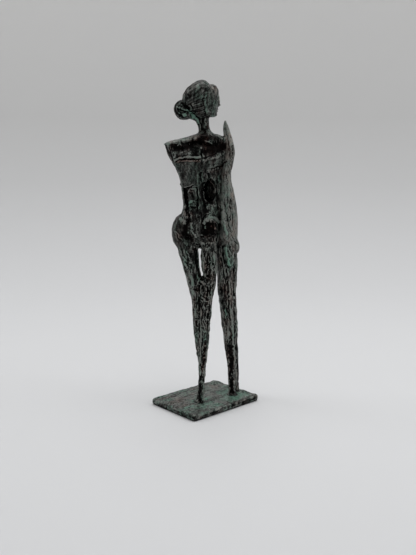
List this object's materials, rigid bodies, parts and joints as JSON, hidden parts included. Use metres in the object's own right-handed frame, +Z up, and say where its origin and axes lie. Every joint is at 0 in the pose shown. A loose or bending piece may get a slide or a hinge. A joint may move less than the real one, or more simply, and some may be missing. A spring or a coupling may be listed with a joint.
{
  "type": "bronze statuette",
  "caption": "Slender abstract standing figure built of bronze bars and slabs, with hair gathered in a bun, one arm and a hollow torso, on a thin rectangular plate.",
  "frame": {"origin": "centre of the resting face, under the felt pad", "axes": "+Z up, X along the plate's long side, Y along its short side; the figure faces between -Y and +X"},
  "size_m": [0.08, 0.06, 0.2936],
  "materials": {
    "bronze_head": "dark brown-black patina with green in the hollows, waxed",
    "bronze_torso": "near-black patina, worn at the edges, waxed",
    "bronze_arm": "pale grey-green patina with a soft waxed sheen",
    "bronze_hips": "near-black glossy patina over polished bronze",
    "bronze_legs": "dark green-grey patina, streaked along the casting",
    "bronze_plate": "grey-brown patina with green patches, rough-cast",
    "screw_steel": "zinc-plated steel",
    "felt": "black felt"
  },
  "bodies": {
    "root": {"hair_cap": "bronze_head", "hair_bun": "bronze_head", "face_slab": "bronze_head", "neck_bar": "bronze_head", "nape_bar": "bronze_head", "shoulder_yoke": "bronze_torso", "chest_slab_left": "bronze_torso", "chest_slab_right": "bronze_torso", "chest_band_right": "bronze_torso", "flank_panel_left": "bronze_torso", "rib_panel_left": "bronze_torso", "loin_panel_left": "bronze_torso", "rib_panel_right": "bronze_torso", "back_panel_left": "bronze_torso", "back_panel_right": "bronze_torso", "sternum_bar": "bronze_torso", "spine_bar": "bronze_torso", "waist_lump_bar": "bronze_torso", "arm_blade": "bronze_arm", "forearm_strip": "bronze_arm", "hand_lump": "bronze_arm", "wrist_knot": "bronze_arm", "pelvis_block": "bronze_hips", "near_buttock": "bronze_hips", "far_buttock": "bronze_hips", "belly_dome": "bronze_hips", "belly_ring": "bronze_hips", "leg_bar_middle": "bronze_legs", "leg_bar_left": "bronze_legs", "leg_bar_right_front": "bronze_legs", "leg_bar_right_rear": "bronze_legs", "base_plate": "bronze_plate", "middle_foot_screw": "screw_steel", "right_foot_screw": "screw_steel", "felt_pad": "felt"}
  },
  "joints": []
}
